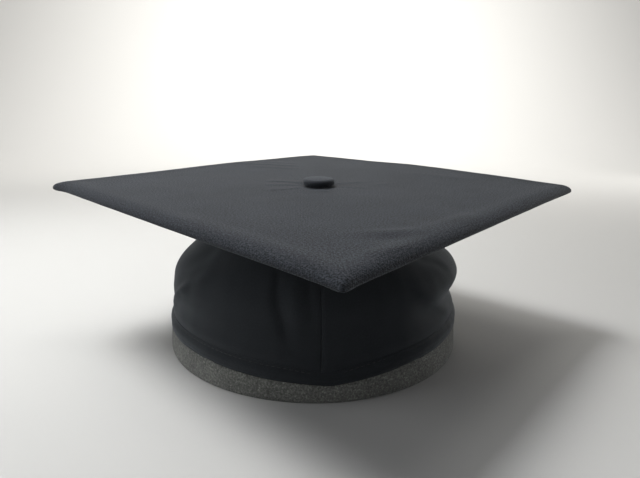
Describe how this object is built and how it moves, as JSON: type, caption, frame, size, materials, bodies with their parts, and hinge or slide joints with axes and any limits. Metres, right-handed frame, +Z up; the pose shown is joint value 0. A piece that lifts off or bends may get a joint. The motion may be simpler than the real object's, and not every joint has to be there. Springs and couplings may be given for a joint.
{
  "type": "graduation cap",
  "caption": "Square fabric-covered mortarboard with a centre button on a soft seamed crown, with a stitched hem and a foam headband.",
  "frame": {"origin": "middle of the plane that the headband's lower rim stands on, below the middle of the board", "axes": "+Z up out of the board, -Y to the wearer's front, where the crown has its centre seam; the board's corners point along X and Y"},
  "size_m": [0.337, 0.3363, 0.1118],
  "materials": {
    "board_core": "matte",
    "board_cloth": "matte",
    "button_cloth": "matte",
    "button_metal": "satin",
    "button_plastic": "matte",
    "crown_cloth": "matte",
    "headband_foam": "matte"
  },
  "bodies": {
    "cap": {"board_core": "board_core", "board_top_cover": "board_cloth", "board_under_cover": "board_cloth", "crown_tip": "crown_cloth", "crown_right": "crown_cloth", "crown_left": "crown_cloth", "hem_band": "crown_cloth", "foam_headband": "headband_foam"},
    "button": {"button_cover": "button_cloth", "button_shell": "button_metal", "button_back": "button_plastic", "button_pin": "button_metal", "button_washer": "button_metal"}
  },
  "joints": [
    {"name": "button_spin", "type": "hinge", "parent": "cap", "child": "button", "pos_m": [-0.0015, -0.00898, 0.10073], "axis": [0, -0.0633, 0.998], "continuous": true}
  ]
}
